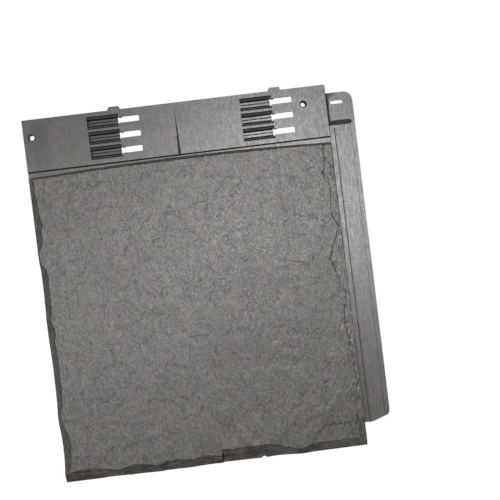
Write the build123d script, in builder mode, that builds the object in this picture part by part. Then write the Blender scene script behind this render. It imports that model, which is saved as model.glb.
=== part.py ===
from build123d import *
import os

# An interlocking roof tile moulded in one piece: a slate-look field with chipped edges, a flat head
# deck that the next course covers, and a low channel down the right side that the next tile covers.
# Every plan size is measured from the field's lower left corner, x across and y up the roof.

# Plan sizes
tile_length = 370.0
slate_width = 310.0
channel_width = 26.3
deck_length = 52.5
channel_gap = 21.5
head_to_ear = 8.7
ear_length = 28.5
ear_corner = 9.5

# Heights above the plane that the tile lies on
channel_floor = 3.0
bar_height = 7.0
bead_height = 5.5
ear_height = 6.0
deck_height = 11.0
ledge_height = 10.0
shelf_height = 10.5
right_shelf_height = 12.0
slate_head_height = 14.5
slate_rise = 2.5
slate_crown = 2.5
wall = 3.0
rib = 2.4
skirt = 3.0
clearance = 0.5

# Ledge between the deck and the field, with a V groove at the deck's foot
ledge_gap = 2.5
ledge_bow = 4.0
riser_fall = 0.5
groove_width = 1.5
groove_depth = 2.6

# Chipped edges: how far the chips fall outward for each millimetre down
left_chip_fall = 1.25
tail_chip_fall = 1.5
right_chip_fall = 0.5

# Side channel: a tapered water bar, a bead along the rim, and a cross bar at the head
bar_place = 5.2
bar_base = 1.6
bar_top = 0.5
bar_gap = 2.4
bead_width = 4.6
bead_slope = 0.9
cross_bar_base = 4.6
cross_bar_top = 1.6
cross_bar_taper = 5.0
channel_slant = 6.0
channel_corner = 5.0

# Tabs on the head edge, measured from the left edge and from the field's right edge
tab_reach = 3.4
tab_base = 13.2
tab_top = 10.0
tab_drop = 1.0
tab_from_left = 93.7
tab_from_right = 52.4

# Nail holes: x from the nearer side of the field, y from the head edge
nail_diameter = 3.35
nail_radius = 2.6
nail_head_radius = 3.8
boss_radius = 6.0
halo_radius = 5.4
halo_height = 0.4
left_nail_x = 8.4
left_nail_y = 18.5
right_nail_x = 24.7
right_nail_y = 17.5

# Slot in the ear for the next tile's nail
ear_slot_length = 13.0
ear_slot_width = 3.7
tile_gap = 1.6

# Two clusters of three troughs, each with a through slot on its right
left_cluster = 65.5
right_cluster = 88.6
rows = 3
first_row = 41.5
row_pitch = 15.35
trough_length = 32.2
trough_width = 12.9
trough_step_outer = 9.8
trough_step_inner = 8.6
trough_shoulder = 7.4
trough_foot = 6.2
trough_floor = 5.0
trough_depth = 9.2
step_depth = 2.8
shoulder_depth = 6.0
floor_depth = 6.6
floor_mark = 1.0
slot_length = 20.7
slot_width = 5.9
slot_corner = 1.0
slot_throat = 1.4
throat_width = 7.3
relief_base = 6.5
relief_top = 1.2
relief_height = 6.0

# Centre mark: a tapered groove that points up the roof
mark_width = 3.0
mark_length = 46.5
mark_depth = 0.8

# Draft of the walls along the channel, for each millimetre of height
side_draft = 0.17

# Left lip that lies over the neighbour's channel, and the blade that hangs into it
lip_width = 10.5
blade_width = 1.5
lap_start = 22.0
lap_head = 4.0

# Hollow underside
edge_hollow = 12.6
columns = 8
cell_rows = 8

overall_width = slate_width + channel_width
overall_length = tile_length + tab_reach
plan = Plane((-overall_width / 2, -overall_length / 2, 0))
deck_start = tile_length - deck_length
slate_end = deck_start - ledge_gap
ear_end = tile_length - head_to_ear
ear_start = ear_end - ear_length
slate_tail_height = slate_head_height + slate_rise
crest = slate_tail_height + slate_crown
lip_underside = bar_height + clearance
clusters = (left_cluster, slate_width - right_cluster)
row_places = [tile_length - first_row + row * row_pitch for row in range(rows)]
left_nail = (left_nail_x, tile_length - left_nail_y)
right_nail = (slate_width - right_nail_x, tile_length - right_nail_y)
ear_slot = (left_nail_x + slate_width + tile_gap, tile_length - left_nail_y)
nail_play = (ear_slot_length - nail_diameter) / 2
lap_width = channel_width - tile_gap + nail_play + clearance
lap_end = tile_length - lap_head


def across(y):
    """Section plane at distance y up the tile, drawn with x across and height up."""
    return Plane(plan.origin + Vector(0, y, 0), x_dir=(1, 0, 0), z_dir=(0, -1, 0))


def along(x):
    """Section plane at distance x across the tile, drawn with y up the tile and height up."""
    return Plane(plan.origin + Vector(x, 0, 0), x_dir=(0, 1, 0), z_dir=(1, 0, 0))


def bite_radius(reach, depth):
    """Radius of the arc that is `depth` deep over a chord of twice `reach`."""
    return (reach**2 + depth**2) / (2 * depth)


def area(x_start, x_end, y_start, y_end):
    """Rectangle between two x and two y sizes on the plan."""
    with Locations(((x_start + x_end) / 2, (y_start + y_end) / 2)):
        Rectangle(x_end - x_start, y_end - y_start)


def face_height(x, y):
    """Height of the field's crowned top face at a point on the plan."""
    from_middle = 2 * x / slate_width - 1
    return slate_head_height + slate_rise * (1 - y / slate_end) + slate_crown * (1 - from_middle**2)


def lead(x, y, fall):
    """How far inward a chip's cut starts at its sketch, to meet the top face where it should."""
    return fall * (cut_top - face_height(x, y))


def carried_on(chips, reach):
    """Chip line with its end depths carried on well past both ends of the edge."""
    return [(-reach, chips[0][1]), *chips, (2 * reach, chips[-1][1])]


def outline(*points):
    """Straight-sided face through points on the sketch's plane."""
    with BuildLine() as edge:
        Polyline(*points, close=True)
    make_face(edge.edges())


def crowned_section(drop):
    """Cross-section of the field at its head, lowered by `drop`, down to well under the tile."""
    top = slate_head_height - drop
    with BuildLine() as edge:
        ThreePointArc((0, top), (slate_width / 2, top + slate_crown), (slate_width, top))
        Polyline((slate_width, top), (slate_width, -crest), (0, -crest), (0, top))
    make_face(edge.edges())


def head_arc(y):
    """Bowed line across the field that reaches `y` in the middle."""
    return ThreePointArc((slate_width, y - ledge_bow), (slate_width / 2, y), (0, y - ledge_bow))


# Chip lines, where the top face breaks off: place along the edge, and depth in from the outline
left_chips = [
    (0, 2.5), (11, 3.5), (15, 6.3), (21, 8.3), (40, 10.0), (46, 9.1), (56, 5.5), (69, 2.4), (74, 4.3),
    (80, 6.5), (96, 7.4), (112, 7.5), (125, 8.2), (136, 6.9), (144, 6.5), (151, 8.3), (157, 8.2),
    (166, 5.1), (172, 6.9), (190, 7.8), (210, 8.3), (216, 7.5), (224, 2.9), (235, 2.3), (242, 5.7),
    (249, 7.2), (256, 6.9), (262, 9.1), (271, 7.3), (291, 5.9), (296, 4.5), (305, 5.5), (312, 3.0),
]
tail_chips = [
    (0, 10.8), (25, 11.8), (42, 10.8), (51, 8.5), (58, 8.0), (66, 10.4), (80, 10.6), (95, 7.7),
    (100, 8.6), (103, 11.1), (110, 10.0), (114, 11.0), (123, 9.6), (131, 9.1), (139, 10.7), (148, 10.8),
    (160, 9.1), (161.5, 15.3), (172, 14.0), (179, 15.0), (200, 15.2), (213, 14.3), (222, 11.2),
    (235, 7.0), (242, 6.0), (252, 9.1), (260, 10.3), (270, 9.6), (295, 9.8), (310, 9.3),
]
right_chips = [
    (0, 7.8), (30, 8.8), (46, 8.8), (58, 7.0), (66, 4.8), (75, 5.3), (84, 6.8), (88, 5.2), (93, 7.0),
    (104, 8.4), (116, 8.6), (125, 10.4), (137, 9.3), (150, 7.0), (156, 5.2), (162, 7.3), (169, 11.1),
    (175, 11.8), (187, 14.3), (193, 17.3), (200, 14.8), (210, 10.8), (220, 6.8), (226, 4.0), (230, 6.8),
    (235, 9.3), (243, 10.3), (255, 9.3), (265, 7.8), (274, 11.8), (281, 14.3), (288, 10.8), (312, 11.3),
]

# Shallow bites out of the outline itself: place, reach to each side, and depth
left_bites = [(205, 40, 0.9), (110, 40, 0.7), (35, 24, 0.8)]
tail_bites = [(52, 14, 0.8), (162, 38, 0.6), (202.7, 2.5, 1.7), (222, 18, 0.7)]

# Heights that the oblique cuts run between, and their directions
cut_top = crest + 1
cut_drop = cut_top - shelf_height
right_cut_drop = cut_top - right_shelf_height
left_fall = Vector(-left_chip_fall, 0, -1)
right_fall = Vector(right_chip_fall, 0, -1)
tail_fall = Vector(0, -tail_chip_fall, -1)
head_fall = Vector(0, riser_fall, -1)
head_lead = riser_fall * (cut_top - ledge_height)

# The field's top face rises towards the tail by this slant
slant = Vector(0, -slate_end, slate_rise)

with BuildPart() as chips:
    with BuildSketch(plan.offset(cut_top)):
        left_line = carried_on(left_chips, tile_length)
        outline(
            (-slate_width, -tile_length),
            *[(depth + lead(depth, place, left_chip_fall), place) for place, depth in left_line],
            (-slate_width, 2 * tile_length),
        )
    extrude(amount=cut_drop * left_fall.length, dir=left_fall)
    with BuildSketch(plan.offset(cut_top)):
        right_line = [(place, slate_width - depth) for place, depth in carried_on(right_chips, tile_length)]
        outline(
            (2 * slate_width, -tile_length),
            *[(x - lead(x, place, right_chip_fall), place) for place, x in right_line],
            (2 * slate_width, 2 * tile_length),
        )
    extrude(amount=right_cut_drop * right_fall.length, dir=right_fall)
    with BuildSketch(plan.offset(cut_top)):
        tail_line = carried_on(tail_chips, slate_width)
        outline(
            (-slate_width, -slate_width),
            *[(place, depth + lead(place, depth, tail_chip_fall)) for place, depth in tail_line],
            (2 * slate_width, -slate_width),
        )
    extrude(amount=cut_drop * tail_fall.length, dir=tail_fall)

# Hollow underside, opened from below and leaving a grid of ribs
cells_start = lap_width + rib
cells_end = slate_width - skirt - edge_hollow - rib
cells_tail = skirt + edge_hollow + rib
cells_head = slate_end - ledge_bow - skirt
column_pitch = (cells_end - cells_start + rib) / columns
cell_pitch = (cells_head - cells_tail + rib) / cell_rows
cells_middle = ((cells_start + cells_end) / 2, (cells_tail + cells_head) / 2)
ledge_hollow = deck_start - cells_head - rib

with BuildPart() as hollow:
    # Cells under the field, their ceiling a wall below its top face
    with BuildSketch(across(slate_end)):
        crowned_section(wall)
    extrude(amount=slant.length, dir=slant)
    with BuildSketch(plan):
        with Locations(cells_middle):
            with GridLocations(column_pitch, cell_pitch, columns, cell_rows):
                Rectangle(column_pitch - rib, cell_pitch - rib)
    extrude(amount=crest, mode=Mode.INTERSECT)
    # Low cells under the chipped tail and right edges
    with BuildSketch(plan):
        with Locations((cells_middle[0], skirt + edge_hollow / 2)):
            with GridLocations(column_pitch, 1, columns, 1):
                Rectangle(column_pitch - rib, edge_hollow)
        with Locations((slate_width - skirt - edge_hollow / 2, cells_middle[1])):
            with GridLocations(1, cell_pitch, 1, cell_rows):
                Rectangle(edge_hollow, cell_pitch - rib)
    extrude(amount=shelf_height - wall)
    # Low cells under the ledge
    with BuildSketch(plan):
        with Locations((cells_middle[0], deck_start - ledge_hollow / 2)):
            with GridLocations(column_pitch, 1, columns, 1):
                Rectangle(column_pitch - rib, ledge_hollow)
    extrude(amount=ledge_height - groove_depth - wall)
    # Clear way for the neighbour's channel under the lip, round the blade, and behind it
    with BuildSketch(plan):
        area(-clearance, lip_width, lap_start, lap_end)
        area(0, lap_width, ear_start - cross_bar_base - nail_play, lap_end)
    extrude(amount=lip_underside)
    with BuildSketch(plan):
        area(lip_width, lip_width + blade_width, lap_start, lap_end)
    extrude(amount=channel_floor + clearance)
    with BuildSketch(plan):
        area(lip_width + blade_width, lap_width, lap_start, lap_end)
    extrude(amount=deck_height - wall)
    # Bays under the deck: plain pairs of cells, and a clear way under each group of through slots
    bay_tail = deck_start + rib
    bay_head = tile_length - skirt
    bay_middle = (bay_tail + bay_head) / 2
    slots_reach = trough_length + slot_length + clearance
    with BuildSketch(plan):
        for start in clusters:
            area(start + trough_length + wall, start + slots_reach, bay_tail, bay_head)
        bays = [
            (cells_start, clusters[0] - wall, 1),
            (clusters[0] + slots_reach + rib, clusters[1] - wall, 3),
            (clusters[1] + slots_reach + rib, slate_width - skirt, 1),
        ]
        for bay_start, bay_end, count in bays:
            bay_pitch = (bay_end - bay_start + rib) / count
            cell_length = (bay_head - bay_tail - rib) / 2
            with Locations(((bay_start + bay_end) / 2, bay_middle)):
                with GridLocations(bay_pitch, cell_length + rib, count, 2):
                    Rectangle(bay_pitch - rib, cell_length)
    extrude(amount=deck_height - wall)
    # Reliefs between the troughs, so that the walls stay even
    for start in clusters:
        with BuildSketch(along(start)):
            for row in row_places[1:]:
                middle = row - row_pitch / 2
                outline(
                    (middle - relief_base / 2, 0),
                    (middle - relief_top / 2, relief_height),
                    (middle + relief_top / 2, relief_height),
                    (middle + relief_base / 2, 0),
                )
        extrude(amount=trough_length)

with BuildPart() as deck_cuts:
    # Troughs: sloped sides with a step, and a raised floor with a fine groove between two V grooves
    trough_half = [
        (trough_width / 2, deck_height),
        (trough_step_outer / 2, deck_height - step_depth),
        (trough_step_inner / 2, deck_height - step_depth),
        (trough_shoulder / 2, deck_height - shoulder_depth),
        (trough_foot / 2, deck_height - trough_depth),
        (trough_floor / 2, deck_height - floor_depth),
        (floor_mark / 2, deck_height - floor_depth),
        (0, deck_height - floor_depth - floor_mark / 2),
    ]
    for start in clusters:
        with BuildSketch(along(start)):
            for row in row_places:
                outline(
                    *[(row - half, height) for half, height in trough_half],
                    *[(row + half, height) for half, height in reversed(trough_half[:-1])],
                )
        extrude(amount=trough_length)
    # Through slots, wider at the throat where they meet the troughs
    with BuildSketch(plan):
        for start in clusters:
            for row in row_places:
                slot_start = start + trough_length
                area(slot_start, slot_start + slot_length, row - slot_width / 2, row + slot_width / 2)
        fillet(vertices(), slot_corner)
        for start in clusters:
            for row in row_places:
                throat_end = start + trough_length
                area(
                    throat_end - slot_throat,
                    throat_end,
                    row - throat_width / 2,
                    row + throat_width / 2,
                )
                area(throat_end, throat_end + 2 * slot_corner, row - slot_width / 2, row + slot_width / 2)
        with Locations(ear_slot):
            SlotOverall(ear_slot_length, ear_slot_width)
    extrude(amount=deck_height)
    # Centre mark
    with BuildSketch(plan.offset(deck_height)):
        outline(
            (slate_width / 2 - mark_width / 2, deck_start),
            (slate_width / 2, deck_start + mark_length),
            (slate_width / 2 + mark_width / 2, deck_start),
        )
    extrude(amount=-mark_depth)
    # Groove at the deck's foot
    with BuildSketch(along(0)):
        outline(
            (deck_start - groove_width, ledge_height),
            (deck_start - groove_width / 2, ledge_height - groove_depth),
            (deck_start, ledge_height),
        )
    extrude(amount=slate_width)

with BuildPart() as roof_tile:
    # Field: its plan outline raised past the crest, then cut down to the crowned, rising top face
    with BuildSketch(plan):
        with BuildLine():
            Polyline(
                (0, slate_end - ledge_bow),
                (0, 0),
                (slate_width, 0),
                (slate_width, slate_end - ledge_bow),
            )
            head_arc(slate_end)
        make_face()
    extrude(amount=crest)
    with BuildSketch(across(slate_end)):
        crowned_section(0)
    extrude(amount=slant.length, dir=slant, mode=Mode.INTERSECT)
    # Sloped riser at the head, down to the ledge
    with BuildSketch(plan.offset(cut_top)):
        with BuildLine():
            head_arc(slate_end - head_lead)
            Polyline(
                (0, slate_end - head_lead - ledge_bow),
                (0, deck_start),
                (slate_width, deck_start),
                (slate_width, slate_end - head_lead - ledge_bow),
            )
        make_face()
    extrude(amount=head_lead / riser_fall * head_fall.length, dir=head_fall, mode=Mode.SUBTRACT)
    add(chips.part, mode=Mode.SUBTRACT)
    # Bites that make the outline itself uneven
    with BuildSketch(plan):
        for place, reach, depth in left_bites:
            radius = bite_radius(reach, depth)
            with Locations((depth - radius, place)):
                Circle(radius)
        for place, reach, depth in tail_bites:
            radius = bite_radius(reach, depth)
            with Locations((place, depth - radius)):
                Circle(radius)
    extrude(amount=crest, mode=Mode.SUBTRACT)

    # Ledge
    with BuildSketch(plan):
        area(0, slate_width, slate_end - 2 * ledge_bow, deck_start)
    extrude(amount=ledge_height)
    # Deck
    with BuildSketch(plan):
        area(0, slate_width, deck_start, tile_length)
    extrude(amount=deck_height)
    # Draft of the field, ledge and deck along the channel
    with BuildSketch(across(0)):
        outline(
            (slate_width, channel_floor),
            (slate_width - side_draft * (cut_top - channel_floor), cut_top),
            (slate_width, cut_top),
        )
    extrude(amount=-tile_length, mode=Mode.SUBTRACT)
    # Tabs on the head edge
    with BuildSketch(plan):
        for middle in (tab_from_left, slate_width - tab_from_right):
            outline(
                (middle - tab_base / 2, tile_length - skirt),
                (middle - tab_base / 2, tile_length),
                (middle - tab_top / 2, tile_length + tab_reach),
                (middle + tab_top / 2, tile_length + tab_reach),
                (middle + tab_base / 2, tile_length),
                (middle + tab_base / 2, tile_length - skirt),
            )
    extrude(amount=deck_height - tab_drop)

    # Channel floor, with its slanted and rounded tail end
    with BuildSketch(plan):
        outline(
            (slate_width - skirt, ear_start),
            (slate_width - skirt, channel_gap),
            (slate_width + channel_width / 3, channel_gap),
            (overall_width, channel_gap + channel_slant),
            (overall_width, ear_start),
        )
        fillet(vertices().sort_by(Axis.X)[-2:].sort_by(Axis.Y)[0], channel_corner)
    channel_plate = extrude(amount=channel_floor)
    # Water bar and rim bead on it
    bar_middle = slate_width + bar_place
    bead_start = overall_width - bead_width
    bar_head = ear_start - cross_bar_base - bar_gap
    with BuildSketch(across(bar_head)):
        outline(
            (bar_middle - bar_base / 2, channel_floor),
            (bar_middle - bar_top / 2, bar_height),
            (bar_middle + bar_top / 2, bar_height),
            (bar_middle + bar_base / 2, channel_floor),
        )
    extrude(amount=bar_head - channel_gap)
    with BuildSketch(plan.offset(channel_floor)):
        with BuildLine():
            Polyline(
                (bead_start, ear_start),
                (bead_start, channel_gap + channel_slant),
                (overall_width, channel_gap + channel_slant + channel_corner),
                (overall_width, ear_start),
                close=True,
            )
        make_face()
    extrude(amount=bead_height - channel_floor)
    # Ear at the head of the channel
    with BuildSketch(plan):
        area(slate_width - skirt, overall_width, ear_start, ear_end)
        fillet(vertices().sort_by(Axis.Y)[-2:].sort_by(Axis.X)[-1], ear_corner)
    extrude(amount=ear_height)
    # Cross bar between the ear and the channel, tapering to a point at the rim
    with BuildSketch(plan):
        outline(
            (slate_width - skirt, ear_start - cross_bar_base),
            (overall_width - cross_bar_taper, ear_start - cross_bar_base),
            (overall_width - cross_bar_taper / 2, ear_start - cross_bar_base / 2),
            (overall_width - cross_bar_taper, ear_start),
            (slate_width - skirt, ear_start),
        )
    extrude(amount=bar_height)

    # Bosses round the nail holes, the left one short because it lies over the neighbour's ear
    add(hollow.part, mode=Mode.SUBTRACT)
    with BuildSketch(plan.offset(ear_height + clearance)):
        with Locations(left_nail):
            Circle(boss_radius)
    extrude(amount=deck_height - ear_height - clearance)
    with BuildSketch(plan):
        with Locations(right_nail):
            Circle(boss_radius)
    extrude(amount=deck_height)
    with BuildSketch(plan.offset(deck_height)):
        with Locations(right_nail):
            Circle(halo_radius)
    extrude(amount=halo_height)
    with Locations(
        plan * Location((*left_nail, deck_height)), plan * Location((*right_nail, deck_height + halo_height))
    ):
        CounterSinkHole(nail_radius, nail_head_radius, counter_sink_angle=90)
    add(deck_cuts.part, mode=Mode.SUBTRACT)

os.makedirs("parts", exist_ok=True)
roof_tile.part.label = "roof_tile"
export_step(roof_tile.part, "parts/roof_tile.step")
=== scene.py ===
import math
import random

import bmesh
import bpy
from mathutils import Matrix, Vector, noise
from mathutils.bvhtree import BVHTree
from mathutils.geometry import delaunay_2d_cdt
from mathutils.kdtree import KDTree


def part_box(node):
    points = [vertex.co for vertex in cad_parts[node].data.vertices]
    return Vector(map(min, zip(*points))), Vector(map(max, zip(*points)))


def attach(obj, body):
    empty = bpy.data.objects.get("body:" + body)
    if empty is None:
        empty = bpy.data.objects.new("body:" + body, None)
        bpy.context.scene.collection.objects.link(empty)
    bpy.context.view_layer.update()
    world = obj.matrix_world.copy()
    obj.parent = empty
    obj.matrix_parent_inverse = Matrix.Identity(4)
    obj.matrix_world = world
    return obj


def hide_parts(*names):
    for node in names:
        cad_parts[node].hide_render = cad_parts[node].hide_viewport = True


# The looks of the roof tile: the moulding from the frame with its slate-look face rebuilt as a fine
# mesh with riven relief and broken edges, its plastic finishes, and a plain studio. Lengths are
# millimetres, scaled by MM where Blender needs metres. x runs across the tile and y up the roof from
# the field's lower left corner, and height is measured from the floor.

MM = 0.001
SEED = 11

# Camera: the photograph's place, the point it looks at, and how far it is rolled
CAMERA_PLACE = (24.3, 46.6, 1150.0)
CAMERA_TARGET = (45.81, 25.21, 0.0)
CAMERA_ROLL = math.radians(-7.0)
SENSOR = 36.0
LENS = 80.65

# Lamps, in metres and watts, and the light from all round
KEY_PLACE = (0.183, 0.119, 1.7)
KEY_WATTS = 15.0
SIDE_PLACE = (-0.55, -0.08, 1.7)
SIDE_WATTS = 8.3
LAMP_SIZE = 0.4
FILL = 0.16

# The studio's floor, in metres: the camera sees it mostly by its own glow, which makes it white
STUDIO_SIZE = 20.0
STUDIO_HEIGHT = -0.0002
STUDIO_GREY = (0.8, 0.8, 0.8, 1.0)
STUDIO_GLOW = 1.12
GLOW_SHARE = 0.8
WHITE = (1, 1, 1, 1)

# The rebuilt face: its mesh's steps, how wide the fine bands along its edges are, how far the points
# between keep from the edges, and how far they are shaken as a share of their step
LOOP_STEP = 1.1
BRINK_STEP = 0.8
FINE_STEP = 0.75
COARSE_STEP = 1.4
FINE_BAND = 18.0
HEAD_BAND = 6.0
EDGE_MARGIN = 0.6
BRINK_MARGIN = 0.45
SHAKE = 0.22

# How close points are the same, where heights are looked down from, and the triangulation's own code
# for keeping only what lies inside the outline
JOIN_GAP = 0.002
SAME_POINT = 1e-5
FAR_ABOVE = 1000.0
KEEP_INSIDE = 1

# What counts as the face in the frame's mesh, as its unbroken top, as a brink that leads to the head,
# and as a sharp edge
FIELD_WIDTH = 310.0
FACE_END = 316.0
FACE_FOOT = 10.05
FACE_TILT = 0.3
TOP_TILT = 0.99
TOP_FOOT = 13.5
HEADWARD = 0.6
SHARP = math.radians(32)

# Riven relief: a slow wave, ripples, terraces and grain, all sunk below the moulding's own face
WAVE = 0.22
RIPPLE = 0.10
LEVELS = 2.2
LEVEL_WOBBLE = 0.5
TERRACE = 0.12
TERRACE_EDGE = 0.08
GRAIN = 0.06
FACE_SINK = 0.5
RELIEF_FADE = 3.0

# Broken edges: a steep drop at the brink, a swell near the outline, and rough facets between them.
# Of the drop, the first share is always there and the second comes and goes
CHIPS_END = 309.0
DROP = 0.9
DROP_SHARES = (0.5, 0.5)
DROP_REACH = 0.5
DROP_FADE = 5.0
SWELL = 0.8
SWELL_REACH = 1.0
SWELL_FADE = 4.0
FACET = 0.55
RIDGE = 0.70
RIDGE_STEP = 2.3
RIDGE_WOBBLE = 2.2
WIDE_CHIP = 9.0
RAGGED = (-0.35, 0.15)
BRINK_FADE = (0.3, 1.5)
OUTLINE_FADE = (0.2, 1.5)
WARP = 0.7
WARP_SIZES = (4.1, 1.7)
WARP_FADE = (0.5, 3.0)

# The right edge, where the chips slope gently down to a shelf that is higher near the head
SHALLOW_CHIPS = 285.0
SHALLOW_START = 12.0
SHALLOW_CORNER = 300.0
SHALLOW_SIZE = 0.45
SHALLOW_DROP_SHARES = (0.1, 0.8)
SHALLOW_SWELL = 0.3
SHELF = 12.0
HIGH_SHELF = 14.5
HIGH_SHELF_START = 287.0
SLOPE_SLACK = 0.4

# Layer of the slate look that is split away at the lower right corner
LAYER_EDGE = [(243, 0), (256, 14), (268, 26), (285, 27), (312, 24)]
LAYER_DEPTH = 0.3
LAYER_SLOPE = 0.3
LAYER_WOBBLE = 1.5
LAYER_WOBBLE_SIZE = 3.5
OFF_LAYER = -5.0

# The groove at the deck's foot, and the place on its left where it is pulled together, because there
# it meets the space under the lip
GROOVE_START = 315.9
GROOVE_FOOT = 316.75
GROOVE_SLIT = 0.3
GROOVE_OPEN = 34.0
GROOVE_HEIGHTS = (7.3, 8.1)

# Sunk places on the head deck: its marks, and the troughs with their floors and steps
DECK_SIDE = 1.0
DECK_START = 317.6
DECK_END = 369.5
DECK_HEIGHT = 11.0
LEDGE_HEIGHT = 10.0
SURFACE_SLACK = 0.05
TROUGH_FLOOR = 4.4
FLOOR_SLACK = 0.2
STEP_HEIGHTS = (4.9, 8.4)
LEVEL_TILT = 0.9
UNDER_TILT = -0.5

# The channel's rim, and the ear with its cross bar and the narrow groove along its side
CHANNEL_START = 307.0
RIM_END = 333.0
EAR_START = 309.9
EAR_EDGE = 310.0
EAR_HEIGHT = 4.0
EAR_FOOT = (329.6, 332.8)
EAR_GROOVE = 311.3
EAR_GROOVE_START = 333.1
EAR_GROOVE_DEPTH = 1.2
CUT_GAP = 0.01

# Material of each kind of place, as its number among the tile's finishes
DECK, RIVEN, CHIPPED, SUNK, FLOOR, CHANNEL, RISER = range(7)

# Colours of the finishes, from their darkest to their lightest places, and of what is drawn on them
DECK_COLOURS = ((0.020, 0.019, 0.017), (0.114, 0.112, 0.107))
CHANNEL_COLOURS = ((0.046, 0.044, 0.041), (0.148, 0.145, 0.139))
# The riser's colours are kept lighter than the face's as painted light, on a steep face that the lamps
# barely reach
RISER_PAINTED_LIGHT_COLOURS = ((0.055, 0.051, 0.047), (0.190, 0.182, 0.170))
RIVEN_COLOURS = ((0.009, 0.008, 0.006), (0.141, 0.136, 0.127))
SIDE_CHIP_COLOURS = ((0.050, 0.047, 0.042), (0.118, 0.112, 0.103))
TAIL_CHIP_COLOURS = ((0.015, 0.010, 0.009), (0.112, 0.101, 0.090))
# The sunk finish is kept darker than the deck as painted shade in the recesses and on the ear's bar
SUNK_SHADE_COLOURS = ((0.018, 0.016, 0.015), (0.050, 0.046, 0.043))
FLOOR_COLOURS = ((0.016, 0.015, 0.014), (0.046, 0.044, 0.041))
# The cracks' dark colour is painted shade in these fine recesses
CRACK_SHADE_COLOUR = (0.016, 0.015, 0.014)
# The specks' light colour is painted glints, as on tiny facets that catch the lamps
PAINTED_GLINT_COLOUR = (0.19, 0.19, 0.18)
RING_COLOUR = (0.01, 0.01, 0.01)
HALO_COLOUR = (0.15, 0.15, 0.147)

# Roughness of the finishes in their dark and in their light places
SMOOTH_ROUGHNESS = (0.34, 0.28)
RISER_ROUGHNESS = (0.55, 0.45)
RIVEN_ROUGHNESS = (0.42, 0.34)
CHIP_ROUGHNESS = (0.6, 0.45)
SUNK_ROUGHNESS = (0.9, 0.75)
FLOOR_ROUGHNESS = (0.30, 0.24)

# How the finishes are drawn: where a cloud's noise ends up dark and light, how far marks are turned from
# the tile's length, and two sets of cracks with their size, width, the noise they start at and a shift
CLOUD_ENDS = (0.36, 0.64)
STREAK_TURN = 0.15
FLAKE_TURN = math.radians(86)
FLOOR_TURN = math.radians(90)
RISER_TURN = math.radians(70)
CRACKS = [(27.0, 0.5, 0.49, 31.0), (12.0, 0.35, 0.58, 63.0)]

# Tones that a colour is multiplied by: patches of pink, brown and green, a stain, and painted shade on
# part of the face and on steep faces
TINTS = ((1.14, 0.96, 0.99), (1.07, 1.0, 0.93), (0.97, 1.02, 0.93))
STAIN_TONE = (0.50, 0.45, 0.42)
PAINTED_SHADE_TONE = (0.78, 0.77, 0.76)
STEEP_SHADE_TONE = (0.76, 0.74, 0.72)
STEEP_CHIP_SHADE_TONE = (0.45, 0.42, 0.40)
STEEP_SHADE_TILTS = (0.86, 0.6)

# Where the finishes change: a part of the face darkened as painted shade, a stain on the deck, rings
# round the nail holes and a light halo round the last one, and the ends of the tail's browner chips
PAINTED_SHADE_PLACE = (215.0, 128.0)
PAINTED_SHADE_SIZE = (95.0, 95.0)
STAIN_PLACE = (15.0, 341.0)
STAIN_SIZE = (15.0, 34.0)
NAILS = [(8.4, 351.5), (285.3, 352.5)]
RING_SIZE = (4.3, 3.9)
HALO_START = (4.1, 4.5)
HALO_END = (6.1, 5.0)
TAIL_CHIPS_TOP = (12, 24)
TAIL_CHIPS_RIGHT = (262, 276)


def plan_corner():
    """The field's lower left corner in metres, where x and y are counted from."""
    low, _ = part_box("roof_tile")
    return Vector((low.x, low.y, 0.0))


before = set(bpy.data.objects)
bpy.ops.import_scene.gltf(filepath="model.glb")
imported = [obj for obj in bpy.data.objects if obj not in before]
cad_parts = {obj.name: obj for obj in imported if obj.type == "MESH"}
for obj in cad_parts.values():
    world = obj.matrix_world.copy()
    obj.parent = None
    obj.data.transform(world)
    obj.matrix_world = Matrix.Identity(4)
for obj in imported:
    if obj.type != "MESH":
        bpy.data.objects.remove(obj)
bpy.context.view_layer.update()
corner = plan_corner()


def plan(place):
    """A place in the frame as millimetres from the corner on the plan."""
    return ((place - corner) / MM).xy


def middle_of(face):
    """A face's middle in millimetres from the corner, with its height."""
    return (face.calc_center_median() - corner) / MM


def moulding_bmesh():
    """The frame's mesh with the edges between its faces joined again and its groove closed."""
    mesh = bmesh.new()
    mesh.from_mesh(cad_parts["roof_tile"].data)
    low, high = GROOVE_HEIGHTS
    for vertex in mesh.verts:
        place = (vertex.co - corner) / MM
        in_slit = abs(place.y - GROOVE_FOOT) < GROOVE_SLIT and low < place.z < high
        if in_slit and place.x < GROOVE_OPEN:
            vertex.co.y = corner.y + GROOVE_FOOT * MM
    bmesh.ops.remove_doubles(mesh, verts=mesh.verts, dist=JOIN_GAP * MM)
    mesh.normal_update()
    return mesh


def is_skin(face):
    """True for the slate face, its chips and its riser, and false for walls, ledge and deck."""
    middle = middle_of(face)
    inside = middle.x < FIELD_WIDTH and middle.y < FACE_END
    return inside and face.normal.z > FACE_TILT and middle.z > FACE_FOOT


def is_top(height, tilt):
    """True where the slate face isn't broken away."""
    return tilt > TOP_TILT and height > TOP_FOOT


def is_top_face(face):
    """True for a face of the moulding on the unbroken slate face."""
    return is_skin(face) and is_top(middle_of(face).z, face.normal.z)


def is_ear(face, reach=0):
    """True for the ear's upper side, and with a reach also for faces that only start on it."""
    middle = middle_of(face)
    end = max(plan(vertex.co).y for vertex in face.verts) if reach else middle.y
    on_ear = middle.x > EAR_START and end > EAR_FOOT[1] + reach
    return on_ear and face.normal.z > FACE_TILT and middle.z > EAR_HEIGHT


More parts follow.
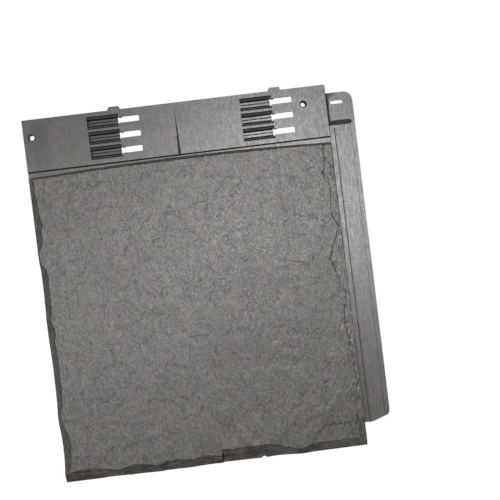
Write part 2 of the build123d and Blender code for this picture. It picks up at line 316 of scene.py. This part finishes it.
def is_sunk(face):
    """True for the deck's marks and troughs, its foot's groove, and the ear's bar and side groove."""
    middle = middle_of(face)
    if face.normal.z < UNDER_TILT:
        return False
    if middle.x > CHANNEL_START:
        on_bar = EAR_FOOT[0] < middle.y < EAR_FOOT[1] and middle.x < RIM_END
        return on_bar or (is_ear(face) and middle.x < EAR_GROOVE)
    if middle.y < DECK_START:
        return middle.y > GROOVE_START and middle.z < LEDGE_HEIGHT - SURFACE_SLACK
    on_deck = middle.y < DECK_END and middle.x > DECK_SIDE
    return on_deck and middle.z < DECK_HEIGHT - SURFACE_SLACK


def finish_of(face):
    """The number of the finish for a face that the moulding already had."""
    middle = middle_of(face)
    if not is_sunk(face):
        in_channel = middle.x > FIELD_WIDTH and middle.y < EAR_FOOT[1]
        return CHANNEL if in_channel else DECK
    if face.normal.z > LEVEL_TILT:
        if abs(middle.z - TROUGH_FLOOR) < FLOOR_SLACK:
            return FLOOR
        on_deck = middle.x < FIELD_WIDTH and DECK_START < middle.y < DECK_END
        if on_deck and STEP_HEIGHTS[0] < middle.z < STEP_HEIGHTS[1]:
            return CHIPPED
    # The rest, the ear's bar among them, get the sunk finish, whose darker colour is painted shade
    return SUNK


def cut_ear_side(mesh):
    """Sinks the ear's edge along the deck into a narrow groove."""
    ear = [face for face in mesh.faces if is_ear(face, reach=1)]
    geometry = ear + list({edge for face in ear for edge in face.edges})
    geometry += list({vertex for face in ear for vertex in face.verts})
    place = corner + Vector((EAR_GROOVE, 0.0, 0.0)) * MM
    across = Vector((1, 0, 0))
    bmesh.ops.bisect_plane(mesh, geom=geometry, dist=CUT_GAP * MM, plane_co=place, plane_no=across)
    for vertex in {vertex for face in mesh.faces if is_ear(face) for vertex in face.verts}:
        spot = plan(vertex.co)
        if spot.x < EAR_EDGE and spot.y > EAR_GROOVE_START:
            vertex.co.z -= EAR_GROOVE_DEPTH * MM


def loop_points(mesh):
    """The open edge that the deleted skin leaves, as vertices in order."""
    edges = [edge for edge in mesh.edges if edge.is_boundary]
    step = {}
    for edge in edges:
        for vertex in edge.verts:
            step.setdefault(vertex, []).append(edge.other_vert(vertex))
    first = edges[0].verts[0]
    loop, last, here = [first], None, first
    while True:
        ahead = [vertex for vertex in step[here] if vertex is not last]
        last, here = here, ahead[0]
        if here is first:
            return loop
        loop.append(here)


def split_open_edges(mesh):
    """Cuts the open edge into pieces about as long as the new face's triangles."""
    for edge in [edge for edge in mesh.edges if edge.is_boundary]:
        cuts = int(edge.calc_length() / (LOOP_STEP * MM))
        for cut in range(cuts):
            part = 1.0 / (cuts + 1 - cut)
            edge = bmesh.utils.edge_split(edge, edge.verts[0], part)[0]


def grid_lines(start, end, fine_start, fine_end):
    """Places from start to end, close together near both ends and wider in between."""
    places, here = [], start
    while here < end:
        places.append(here)
        near = here < start + fine_start or here > end - fine_end
        here += FINE_STEP if near else COARSE_STEP
    return places


def near_tree(points):
    """Finds the nearest of some plan points."""
    tree = KDTree(len(points))
    for i, point in enumerate(points):
        tree.insert((*point, 0.0), i)
    tree.balance()
    return tree


def gap(tree, point):
    """Distance on the plan from a point to the nearest one in the tree."""
    return tree.find((*point, 0.0))[2]


def ramp(value, start, end):
    """0 at start and before, 1 at end and past it, and smooth between them."""
    part = min(max((value - start) / (end - start), 0.0), 1.0)
    return part * part * (3 - 2 * part)


def bumps(point, size_x, size_y, layer):
    """Noise of about -1 to 1 at a plan point, with bumps of a size. The layer picks one of many."""
    return noise.noise(Vector((point.x / size_x, point.y / size_y, layer)))


def warp(point, outline):
    """How far the moulding's edge lines are shifted at a point, so that they come out uneven."""
    x, y = point
    wide, narrow = WARP_SIZES
    slow = noise.noise_vector(Vector((x / wide, y / wide, 2.2)))
    quick = noise.noise_vector(Vector((x / narrow, y / narrow, 6.1)))
    return (slow + quick * 0.5).xy * WARP * ramp(gap(outline, point), *WARP_FADE)


def layer_edge(x):
    """How far up the lower right corner's layer is split away at a place across the tile."""
    for (start, low), (end, high) in zip(LAYER_EDGE, LAYER_EDGE[1:]):
        if start <= x <= end:
            wobble = LAYER_WOBBLE * noise.noise(Vector((x / LAYER_WOBBLE_SIZE, 4.6, 0.0)))
            return low + (high - low) * (x - start) / (end - start) + wobble
    return OFF_LAYER


def relief(point, outline):
    """Depth of the riven relief below the moulding's own face, never above it."""
    x, y = point
    wave = WAVE * bumps(point, 60, 60, 3.1)
    wave += RIPPLE * bumps(point, 17, 24, 7.7)
    level = LEVELS * bumps(point, 48, 60, 1.3)
    level += LEVEL_WOBBLE * noise.fractal(Vector((x / 14, y / 19, 5.9)), 1.3, 2.1, 4)
    past_level = level - math.floor(level)
    terrace = TERRACE * (math.floor(level) + min(past_level / TERRACE_EDGE, 1.0))
    grain = GRAIN * bumps(point, 2.2, 4.0, 9.2)
    split = LAYER_DEPTH * ramp(layer_edge(x) - y, -LAYER_SLOPE, LAYER_SLOPE)
    depth = wave + terrace + grain - split - FACE_SINK
    return depth * ramp(gap(outline, point), 0.0, RELIEF_FADE)


def is_shallow(point):
    """True for the broken right edge, which slopes gently."""
    return point.x > SHALLOW_CHIPS and (point.y > SHALLOW_START or point.x > SHALLOW_CORNER)


def chip_relief(point, brink_gap, outline_gap):
    """Change of height on a broken edge: steep at the brink, then flatter, rough, and rolled off."""
    shallow = is_shallow(point)
    steady, ragged = SHALLOW_DROP_SHARES if shallow else DROP_SHARES
    drop = DROP * (steady + ragged * ramp(bumps(point, 8, 8, 2.9), *RAGGED))
    drop *= ramp(brink_gap, 0.0, DROP_REACH) * max(1 - brink_gap / DROP_FADE, 0.0)
    swell = SWELL * (SHALLOW_SWELL if shallow else 1.0)
    swell *= ramp(outline_gap, 0.0, SWELL_REACH) * max(1 - outline_gap / SWELL_FADE, 0.0)
    layer = (brink_gap + RIDGE_WOBBLE * bumps(point, 9, 9, 1.7)) / RIDGE_STEP
    rough = 0.5 * bumps(point, 2.1, 2.1, 8.8) - abs(bumps(point, 5.5, 5.5, 4.4))
    ridge = RIDGE * abs(layer - math.floor(layer + 0.5))
    size = min((brink_gap + outline_gap) / WIDE_CHIP, 1.0) * (SHALLOW_SIZE if shallow else 1.0)
    size *= ramp(brink_gap, *BRINK_FADE) * ramp(outline_gap, *OUTLINE_FADE)
    return swell - drop + (FACET * rough + ridge) * size


def brink_edges(mesh):
    """Edges where the slate face breaks away, each with the plan direction that leads off it."""
    found = []
    for edge in mesh.edges:
        tops = [face for face in edge.link_faces if is_top_face(face)]
        others = [face for face in edge.link_faces if is_skin(face) and not is_top_face(face)]
        if len(tops) == 1 and len(others) == 1:
            start, end = (plan(vertex.co) for vertex in edge.verts)
            off = Vector((end.y - start.y, start.x - end.x)).normalized()
            if off.dot(plan(others[0].calc_center_median()) - start) < 0:
                off = -off
            found.append((edge, off))
    return found


class Skin:
    """The new face's points on the plan, with heights, zones and the lines its mesh must keep."""

    def __init__(self, mesh):
        self.cad = BVHTree.FromBMesh(mesh)
        self.places, self.heights, self.tops, self.lines, self.brink = [], [], [], [], []
        known = {}
        for edge, off in brink_edges(mesh):
            start, end = (vertex.co.copy() for vertex in edge.verts)
            count = max(int((end - start).length / (BRINK_STEP * MM)), 1)
            chain = []
            for i in range(count + 1):
                place = start.lerp(end, i / count)
                key = (round(place.x / MM, 2), round(place.y / MM, 2))
                if key not in known:
                    known[key] = len(self.brink)
                    self.brink.append((plan(place), place.z / MM, off))
                chain.append(known[key])
            self.lines += list(zip(chain, chain[1:]))

    def cad_height(self, point):
        """Height and tilt of the moulding at a plan point, or None off its face."""
        over = corner + Vector((point.x, point.y, FAR_ABOVE)) * MM
        hit, normal, _, _ = self.cad.ray_cast(over, Vector((0, 0, -1)))
        if hit is None or hit.z < FACE_FOOT * MM or normal.z < FACE_TILT:
            return None
        return hit.z / MM, normal.z

    def add(self, place, height, top):
        """Keeps a point of the new face."""
        self.places.append(place)
        self.heights.append(height)
        self.tops.append(top)

    def fill(self, polygon):
        """Adds the brink's points and a shaken grid inside the outline."""
        # Blender's noise vectors start from the clock unless they are seeded
        noise.seed_set(SEED)
        outline = near_tree(polygon)
        chipped = [(point, height) for point, height, off in self.brink if off.y < HEADWARD]
        chip_brink = near_tree([point for point, _ in chipped])
        for point, height, _ in self.brink:
            place = point - warp(point, outline)
            self.add(place, height + relief(place, outline), True)
        close = near_tree(self.places)
        draw = random.Random(SEED)
        xs = grid_lines(FINE_STEP, FIELD_WIDTH, FINE_BAND, FINE_BAND)
        ys = grid_lines(FINE_STEP, FACE_END, FINE_BAND, HEAD_BAND)
        for y, next_y in zip(ys, ys[1:]):
            for x, next_x in zip(xs, xs[1:]):
                shake_x = draw.uniform(-SHAKE, SHAKE) * (next_x - x)
                shake_y = draw.uniform(-SHAKE, SHAKE) * (next_y - y)
                place = Vector((x + shake_x, y + shake_y))
                outline_gap = gap(outline, place)
                if outline_gap < EDGE_MARGIN or gap(close, place) < BRINK_MARGIN:
                    continue
                source = place + warp(place, outline)
                found = self.cad_height(source)
                if found is None:
                    continue
                height = found[0] + relief(place, outline)
                if not is_top(*found) and y < CHIPS_END:
                    _, near, brink_gap = chip_brink.find((*source, 0.0))
                    if is_shallow(place):
                        shelf = SHELF if y < HIGH_SHELF_START else HIGH_SHELF
                        part = outline_gap / (outline_gap + brink_gap)
                        slope = shelf + (chipped[near][1] - shelf) * part
                        height = max(height, slope - SLOPE_SLACK)
                    height += chip_relief(place, brink_gap, outline_gap)
                self.add(place, height, is_top(*found))


def rebuild_face(mesh):
    """Replaces the smooth face with a fine one that follows it and carries the relief."""
    skin = Skin(mesh)
    bmesh.ops.delete(mesh, geom=[face for face in mesh.faces if is_skin(face)], context="FACES")
    split_open_edges(mesh)
    loop = loop_points(mesh)
    polygon = [plan(vertex.co) for vertex in loop]
    skin.fill(polygon)
    count = len(loop)
    edges = [(i, (i + 1) % count) for i in range(count)]
    edges += [(a + count, b + count) for a, b in skin.lines]
    points = polygon + skin.places
    made = delaunay_2d_cdt(points, edges, [], KEEP_INSIDE, SAME_POINT)
    places, _, triangles, sources, _, _ = made
    vertices, tops = [], []
    for place, source in zip(places, sources):
        first = min(source) if source else -1
        if 0 <= first < count:
            vertices.append(loop[first])
            tops.append(False)
            continue
        if first >= count:
            height, top = skin.heights[first - count], skin.tops[first - count]
        else:
            height, tilt = skin.cad_height(place) or (FACE_FOOT, 0.0)
            top = is_top(height, tilt)
        vertices.append(mesh.verts.new(corner + Vector((place.x, place.y, height)) * MM))
        tops.append(top)
    for triangle in triangles:
        face = mesh.faces.new([vertices[i] for i in triangle])
        middle = middle_of(face).xy
        if all(tops[i] for i in triangle):
            face.material_index = RIVEN
        elif middle.y > CHIPS_END:
            face.material_index = RISER
        else:
            face.material_index = RIVEN if is_shallow(middle) else CHIPPED
    unused = [vertex for vertex in mesh.verts if not vertex.link_faces]
    bmesh.ops.delete(mesh, geom=unused, context="VERTS")
    mesh.normal_update()


def build_tile():
    """The tile's visible piece, with the number of its finish on each face."""
    mesh = moulding_bmesh()
    rebuild_face(mesh)
    cut_ear_side(mesh)
    for face in mesh.faces:
        face.smooth = True
        if face.material_index == DECK:
            face.material_index = finish_of(face)
    for edge in mesh.edges:
        edge.smooth = edge.calc_face_angle(math.pi) < SHARP
    data = bpy.data.meshes.new("tile_moulding")
    mesh.to_mesh(data)
    mesh.free()
    tile = bpy.data.objects.new("tile_moulding", data)
    bpy.context.scene.collection.objects.link(tile)
    return tile


def node(tree, kind, inputs=None, **settings):
    """A new node with its settings, and its inputs set or linked by name or number."""
    made = tree.nodes.new(kind)
    for name, value in settings.items():
        setattr(made, name, value)
    for name, value in (inputs or {}).items():
        if isinstance(value, bpy.types.NodeSocket):
            tree.links.new(value, made.inputs[name])
        else:
            made.inputs[name].default_value = value
    return made


def calc(tree, operation, *values):
    """The result of a math node on sockets or numbers."""
    return node(tree, "ShaderNodeMath", dict(enumerate(values)), operation=operation).outputs[0]


def spread(tree, value, start, end, low=0.0, high=1.0):
    """Maps start..end smoothly to low..high."""
    inputs = {"Value": value, "From Min": start, "From Max": end, "To Min": low, "To Max": high}
    return node(tree, "ShaderNodeMapRange", inputs, interpolation_type="SMOOTHSTEP").outputs[0]


def plan_place(tree):
    """The place on the tile in millimetres."""
    place = node(tree, "ShaderNodeTexCoord").outputs["Object"]
    inputs = {0: place, "Scale": 1 / MM}
    return node(tree, "ShaderNodeVectorMath", inputs, operation="SCALE").outputs[0]


def cloud(tree, place, size, detail=2.0, roughness=0.5, turn=0.0, stretch=1.0, shift=0.0):
    """Noise about 0.5 with spots of the given size, drawn out by stretch along a turned y."""
    scale = (size, size * stretch, size)
    inputs = {"Vector": place, "Scale": scale, "Rotation": (0, 0, turn), "Location": (shift, 0, 0)}
    mapped = node(tree, "ShaderNodeMapping", inputs, vector_type="TEXTURE").outputs[0]
    inputs = {"Vector": mapped, "Scale": 1.0, "Detail": detail, "Roughness": roughness}
    return node(tree, "ShaderNodeTexNoise", inputs)


def mottle(tree, place, size, detail=3.0, roughness=0.7, turn=0.0, stretch=1.0):
    """A cloud's noise spread over 0 to 1."""
    made = cloud(tree, place, size, detail, roughness, turn, stretch)
    return spread(tree, made.outputs["Fac"], *CLOUD_ENDS)


def bent(tree, place, size, reach):
    """The place shifted by a slow noise, so that what is drawn with it wanders."""
    colour = cloud(tree, place, size, detail=1.0).outputs["Color"]
    inputs = {0: colour, 1: (0.5, 0.5, 0.5)}
    centred = node(tree, "ShaderNodeVectorMath", inputs, operation="SUBTRACT").outputs[0]
    inputs = {0: centred, 1: (reach, reach, 0.0), 2: place}
    return node(tree, "ShaderNodeVectorMath", inputs, operation="MULTIPLY_ADD").outputs[0]


def share(tree, *parts):
    """The sum of sockets, each with its weight."""
    total = calc(tree, "MULTIPLY", *parts[0])
    for value, weight in parts[1:]:
        total = calc(tree, "MULTIPLY_ADD", value, weight, total)
    return total


def shade(tree, amount, dark, light, blend="MIX"):
    """A colour that goes from dark to light as the amount goes from 0 to 1."""
    made = tree.nodes.new("ShaderNodeMix")
    made.data_type = "RGBA"
    made.blend_type = blend
    tree.links.new(amount, made.inputs[0])
    for socket, value in ((made.inputs[6], dark), (made.inputs[7], light)):
        if isinstance(value, bpy.types.NodeSocket):
            tree.links.new(value, socket)
        else:
            socket.default_value = (*value, 1.0)
    return made.outputs[2]


def toned(tree, amount, colour, tone):
    """The colour, multiplied by the tone as the amount goes from 0 to 1."""
    return shade(tree, amount, colour, tone, "MULTIPLY")


def tinted(tree, colour, place, strength):
    """Faint pink, brown and green patches, as the filler in the plastic shows through."""
    for i, tone in enumerate(TINTS):
        patch = cloud(tree, place, 24.0, detail=3.0, roughness=0.65, shift=7.0 + 40.0 * i)
        amount = spread(tree, patch.outputs["Fac"], 0.5, 0.62, 0.0, strength)
        colour = toned(tree, amount, colour, tone)
    return colour


def steep(tree):
    """1 where the surface is steep, 0 where it lies flat; it masks the painted shade on steep faces."""
    normal = node(tree, "ShaderNodeNewGeometry").outputs["Normal"]
    height = node(tree, "ShaderNodeSeparateXYZ", {0: normal}).outputs["Z"]
    return spread(tree, height, *STEEP_SHADE_TILTS)


def near_spot(tree, place, x, y, reach_x=1.0, reach_y=1.0):
    """Distance from a spot on the plan, 1 at its reach."""
    inputs = {0: place, 1: (1 / reach_x, 1 / reach_y, 0.0)}
    scaled = node(tree, "ShaderNodeVectorMath", inputs, operation="MULTIPLY").outputs[0]
    middle = ((corner.x / MM + x) / reach_x, (corner.y / MM + y) / reach_y, 0.0)
    inputs = {0: scaled, 1: middle}
    return node(tree, "ShaderNodeVectorMath", inputs, operation="DISTANCE").outputs["Value"]


def stained(tree, colour, place, patch):
    """The colour with the stain on the deck, uneven as the patches are."""
    stain = spread(tree, near_spot(tree, place, *STAIN_PLACE, *STAIN_SIZE), 1.0, 0.3)
    stain = calc(tree, "MULTIPLY", stain, calc(tree, "MULTIPLY_ADD", patch, 0.6, 0.4))
    return toned(tree, stain, colour, STAIN_TONE)


def ringed(tree, colour, place):
    """The colour with a dark ring round each nail hole and a light halo round the last one."""
    for nail in NAILS:
        from_nail = near_spot(tree, place, *nail)
        ring = calc(tree, "MULTIPLY", spread(tree, from_nail, *RING_SIZE), 0.85)
        colour = shade(tree, ring, colour, RING_COLOUR)
    inside = spread(tree, from_nail, *HALO_END)
    halo = calc(tree, "MULTIPLY", spread(tree, from_nail, *HALO_START), inside)
    return shade(tree, halo, colour, HALO_COLOUR)


def cracked(tree, place):
    """1 on two sets of wandering hair cracks that come and go, and 0 elsewhere."""
    ragged = bent(tree, bent(tree, place, 11.0, 14.0), 2.6, 3.0)
    crack = None
    for size, width, start, shift in CRACKS:
        inputs = {"Vector": ragged, "Scale": 1 / size}
        made_by = {"feature": "DISTANCE_TO_EDGE", "voronoi_dimensions": "2D"}
        edge = node(tree, "ShaderNodeTexVoronoi", inputs, **made_by).outputs["Distance"]
        line = spread(tree, edge, 0.2 * width / size, width / size, 1.0, 0.0)
        where = cloud(tree, place, 15.0, detail=2.0, shift=shift).outputs["Fac"]
        line = calc(tree, "MULTIPLY", line, spread(tree, where, start, start + 0.08))
        crack = line if crack is None else calc(tree, "MAXIMUM", crack, line)
    return crack


def material(name):
    """A new plastic: its material, node tree, shader and place on the tile."""
    made = bpy.data.materials.new(name)
    made.use_nodes = True
    tree = made.node_tree
    return made, tree, tree.nodes["Principled BSDF"], plan_place(tree)


def dress(tree, shader, colour, roughness, height):
    """Links a colour, a roughness and a bump's height in millimetres to the shader."""
    tree.links.new(colour, shader.inputs["Base Color"])
    tree.links.new(roughness, shader.inputs["Roughness"])
    inputs = {"Height": height, "Distance": MM, "Strength": 1.0}
    tree.links.new(node(tree, "ShaderNodeBump", inputs).outputs[0], shader.inputs["Normal"])


def smooth_plastic(name, colours, wander, stretch):
    """Satin moulded plastic with flow marks along the tile, a fine grain and cloudy patches."""
    made, tree, shader, place = material(name)
    patch = mottle(tree, place, 12.0, detail=4.0, roughness=0.6)
    flow = mottle(tree, bent(tree, place, 30.0, wander), 1.3, roughness=0.65, stretch=stretch)
    grain = mottle(tree, place, 1.7)
    amount = share(tree, (flow, 0.4), (grain, 0.4), (patch, 0.2))
    colour = tinted(tree, shade(tree, amount, *colours), place, 0.7)
    colour = stained(tree, colour, place, patch)
    colour = ringed(tree, colour, place)
    dull = share(tree, (grain, 0.45), (flow, 0.45), (patch, 0.1))
    roughness = spread(tree, dull, 0.2, 0.8, *SMOOTH_ROUGHNESS)
    dress(tree, shader, colour, roughness, share(tree, (grain, 0.010), (flow, 0.016)))
    return made


def streaky_plastic(name, colours, roughness, turn, depth):
    """Plastic of the trough floors and the riser, with long marks turned from the tile's length."""
    made, tree, shader, place = material(name)
    flow = mottle(tree, place, 1.2, roughness=0.65, turn=turn, stretch=6.0)
    colour = shade(tree, flow, *colours)
    dull = spread(tree, flow, 0.0, 1.0, *roughness)
    dress(tree, shader, colour, dull, calc(tree, "MULTIPLY", flow, depth))
    return made


def riven_plastic():
    """The slate look: fine streaks and grain, hair cracks darkened as painted shade, light specks as
    painted glints, and slow changes of tint.
    """
    made, tree, shader, place = material("riven_plastic")
    wandering = bent(tree, place, 50.0, 24.0)
    streak = mottle(tree, wandering, 1.5, roughness=0.65, turn=STREAK_TURN, stretch=3.6)
    grain = mottle(tree, place, 1.8)
    blotch = mottle(tree, wandering, 4.5, roughness=0.6, turn=STREAK_TURN, stretch=1.5)
    patch = mottle(tree, place, 16.0, roughness=0.6)
    crack = cracked(tree, place)
    # Partly grain of the plastic and partly painted light and shade: the streaks and grain raised by the
    # bump below are also lighter, and the low ones darker
    amount = share(tree, (streak, 0.35), (grain, 0.3), (blotch, 0.2), (patch, 0.15))
    colour = tinted(tree, shade(tree, amount, *RIVEN_COLOURS), place, 1.0)
    # Painted shade: the face's lower right part is darkened, where the lamps' sheen falls off
    dim = spread(tree, near_spot(tree, place, *PAINTED_SHADE_PLACE, *PAINTED_SHADE_SIZE), 1.0, 0.2)
    colour = toned(tree, dim, colour, PAINTED_SHADE_TONE)
    # Painted highlight: light specks of colour stand in for glints on tiny facets
    painted_glint = cloud(tree, place, 1.9, detail=1.0, shift=3.0).outputs["Fac"]
    colour = shade(tree, spread(tree, painted_glint, 0.68, 0.78), colour, PAINTED_GLINT_COLOUR)
    # Painted shade: the hair cracks, sunk by the bump below, are also darkened in colour
    colour = shade(tree, calc(tree, "MULTIPLY", crack, 0.42), colour, CRACK_SHADE_COLOUR)
    # Painted shade: steep faces get a darker colour, standing in for the shade they fall into
    colour = toned(tree, steep(tree), colour, STEEP_SHADE_TONE)
    roughness = spread(tree, grain, 0.0, 1.0, *RIVEN_ROUGHNESS)
    height = share(tree, (streak, 0.045), (grain, 0.03), (crack, -0.09))
    dress(tree, shader, colour, roughness, height)
    return made


def chipped_plastic():
    """Broken edge: darker, a little brown along the tail, rough, with lens-shaped flakes, and painted
    shade on its steep faces.
    """
    made, tree, shader, place = material("chipped_plastic")
    bent_wide = bent(tree, place, 9.0, 5.0)
    bent_thin = bent(tree, place, 9.0, 3.0)
    bent_slow = bent(tree, place, 12.0, 6.0)
    flake = mottle(tree, bent_wide, 2.6, roughness=0.6, turn=FLAKE_TURN, stretch=3.2)
    length = mottle(tree, bent_thin, 1.3, roughness=0.6, stretch=5.0)
    lens = mottle(tree, bent_slow, 6.0, detail=2.0, roughness=0.5, turn=FLAKE_TURN, stretch=2.4)
    fine = mottle(tree, place, 1.1)
    side = share(tree, (length, 0.6), (fine, 0.4))
    tail = share(tree, (flake, 0.4), (lens, 0.4), (fine, 0.2))
    ends = node(tree, "ShaderNodeSeparateXYZ", {0: place}).outputs
    up = spread(tree, ends["Y"], *(corner.y / MM + end for end in TAIL_CHIPS_TOP))
    right = spread(tree, ends["X"], *(corner.x / MM + end for end in TAIL_CHIPS_RIGHT))
    tail_colour = shade(tree, tail, *TAIL_CHIP_COLOURS)
    side_colour = shade(tree, side, *SIDE_CHIP_COLOURS)
    colour = shade(tree, calc(tree, "MAXIMUM", up, right), tail_colour, side_colour)
    # Painted shade: steep faces of the chips get a darker colour, standing in for the shade they fall
    # into
    colour = toned(tree, steep(tree), colour, STEEP_CHIP_SHADE_TONE)
    roughness = spread(tree, fine, 0.0, 1.0, *CHIP_ROUGHNESS)
    height = share(tree, (flake, 0.25), (length, 0.15), (fine, 0.08))
    dress(tree, shader, colour, roughness, height)
    return made


def sunk_shaded_plastic():
    """Matt plastic of the troughs, marks and the ear's bar, dull where the mould isn't polished, its
    colour darkened as painted shade.
    """
    made, tree, shader, place = material("sunk_shaded_plastic")
    fine = mottle(tree, place, 1.3)
    colour = shade(tree, fine, *SUNK_SHADE_COLOURS)
    roughness = spread(tree, fine, 0.0, 1.0, *SUNK_ROUGHNESS)
    dress(tree, shader, colour, roughness, calc(tree, "MULTIPLY", fine, 0.05))
    return made


def add_camera():
    """The camera at the photograph's place."""
    data = bpy.data.cameras.new("camera")
    data.sensor_width = SENSOR
    data.lens = LENS
    camera = bpy.data.objects.new("camera", data)
    bpy.context.scene.collection.objects.link(camera)
    place = Vector(CAMERA_PLACE) * MM
    back = (place - Vector(CAMERA_TARGET) * MM).normalized()
    up = Vector((-math.sin(CAMERA_ROLL), math.cos(CAMERA_ROLL), 0.0))
    right = up.cross(back).normalized()
    up = back.cross(right)
    turned = Matrix((right, up, back)).transposed().to_4x4()
    camera.matrix_world = Matrix.Translation(place) @ turned
    bpy.context.scene.camera = camera


def add_floor():
    """A pale floor that the camera sees as white, with the tile's soft shadow."""
    bpy.ops.mesh.primitive_plane_add(size=STUDIO_SIZE, location=(0, 0, STUDIO_HEIGHT))
    floor = bpy.context.object
    floor.name = "floor"
    made = bpy.data.materials.new("floor")
    made.use_nodes = True
    tree = made.node_tree
    tree.nodes.clear()
    plain = node(tree, "ShaderNodeBsdfDiffuse", {"Color": STUDIO_GREY}).outputs[0]
    inputs = {"Color": WHITE, "Strength": STUDIO_GLOW}
    white = node(tree, "ShaderNodeEmission", inputs).outputs[0]
    seen = node(tree, "ShaderNodeMixShader", {"Fac": GLOW_SHARE, 1: plain, 2: white}).outputs[0]
    camera_ray = node(tree, "ShaderNodeLightPath").outputs["Is Camera Ray"]
    shown = node(tree, "ShaderNodeMixShader", {"Fac": camera_ray, 1: plain, 2: seen}).outputs[0]
    node(tree, "ShaderNodeOutputMaterial", {"Surface": shown})
    floor.data.materials.append(made)


def add_world():
    """Even light from all round, and white where the camera sees past the floor."""
    world = bpy.data.worlds.new("studio")
    bpy.context.scene.world = world
    world.use_nodes = True
    tree = world.node_tree
    tree.nodes.clear()
    fill = node(tree, "ShaderNodeBackground", {"Color": WHITE, "Strength": FILL}).outputs[0]
    plain = node(tree, "ShaderNodeBackground", {"Color": WHITE, "Strength": 1.0}).outputs[0]
    camera_ray = node(tree, "ShaderNodeLightPath").outputs["Is Camera Ray"]
    shown = node(tree, "ShaderNodeMixShader", {"Fac": camera_ray, 1: fill, 2: plain}).outputs[0]
    node(tree, "ShaderNodeOutputWorld", {"Surface": shown})


def add_softbox(name, place, watts):
    """A square lamp that faces the tile's middle."""
    data = bpy.data.lights.new(name, "AREA")
    data.shape = "RECTANGLE"
    data.size = data.size_y = LAMP_SIZE
    data.energy = watts
    lamp = bpy.data.objects.new(name, data)
    bpy.context.scene.collection.objects.link(lamp)
    lamp.location = place
    lamp.rotation_euler = (-Vector(place)).to_track_quat("-Z", "Y").to_euler()


tile = build_tile()
finishes = {
    DECK: smooth_plastic("deck_plastic", DECK_COLOURS, wander=8.0, stretch=4.5),
    RIVEN: riven_plastic(),
    CHIPPED: chipped_plastic(),
    SUNK: sunk_shaded_plastic(),
    FLOOR: streaky_plastic("floor_plastic", FLOOR_COLOURS, FLOOR_ROUGHNESS, FLOOR_TURN, depth=0.012),
    CHANNEL: smooth_plastic("channel_plastic", CHANNEL_COLOURS, wander=2.0, stretch=9.0),
    # Painted light: the riser's lighter colours stand in for light that its steep face doesn't get
    RISER: streaky_plastic("riser_painted_light_plastic", RISER_PAINTED_LIGHT_COLOURS, RISER_ROUGHNESS, RISER_TURN, depth=0.08),
}
for number in sorted(finishes):
    tile.data.materials.append(finishes[number])
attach(tile, "root")
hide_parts("roof_tile")

add_camera()
add_floor()
add_world()
add_softbox("key_softbox", KEY_PLACE, KEY_WATTS)
add_softbox("side_softbox", SIDE_PLACE, SIDE_WATTS)
bpy.context.scene.view_settings.view_transform = "Standard"
